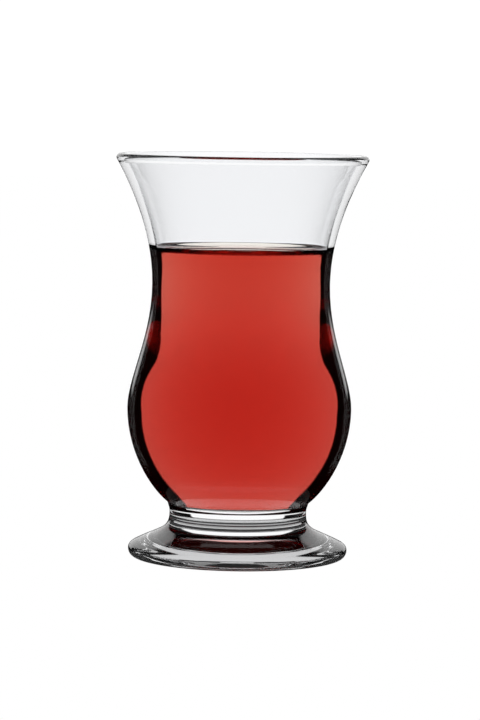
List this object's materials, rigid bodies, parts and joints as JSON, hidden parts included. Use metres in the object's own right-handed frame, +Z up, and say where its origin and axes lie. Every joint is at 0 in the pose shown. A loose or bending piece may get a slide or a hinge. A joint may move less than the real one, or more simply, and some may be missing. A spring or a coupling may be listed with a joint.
{
  "type": "turkish tea glass",
  "caption": "Footed clear tea glass with a round belly, narrow waist and flared mouth, filled with red-brown tea to just above the waist.",
  "frame": {"origin": "middle of the flat ring under the foot, on the surface the glass stands on", "axes": "+Z up along the axis that the glass is turned about; X and Y are alike all round"},
  "size_m": [0.0624, 0.0624, 0.1],
  "materials": {
    "clear_glass": "fire-polished clear soda-lime glass",
    "tea": "clear red-brown tea with a still, glossy surface"
  },
  "bodies": {
    "root": {"glass": "clear_glass", "tea": "tea"}
  },
  "joints": []
}
